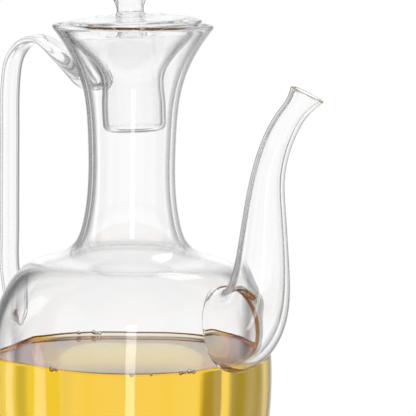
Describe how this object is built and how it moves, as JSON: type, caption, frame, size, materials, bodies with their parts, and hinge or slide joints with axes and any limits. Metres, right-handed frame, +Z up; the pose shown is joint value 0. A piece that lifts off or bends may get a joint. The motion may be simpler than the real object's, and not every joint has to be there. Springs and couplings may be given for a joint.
{
  "type": "glass oil pitcher",
  "caption": "Clear blown glass pitcher with a lobed body, trumpet mouth, curved spout and strap handle, closed by a loose hollow stopper and half filled with golden oil.",
  "frame": {"origin": "centre of the flat base, on the axis of the body, on the surface the pitcher stands on", "axes": "+Z up along the body's axis, +X towards the spout, handle towards -X"},
  "size_m": [0.1309, 0.0976, 0.2156],
  "materials": {
    "clear_glass": "clear, polished",
    "golden_oil": "clear liquid"
  },
  "bodies": {
    "root": {"glass": "clear_glass", "stopper": "clear_glass", "oil": "golden_oil"}
  },
  "joints": []
}
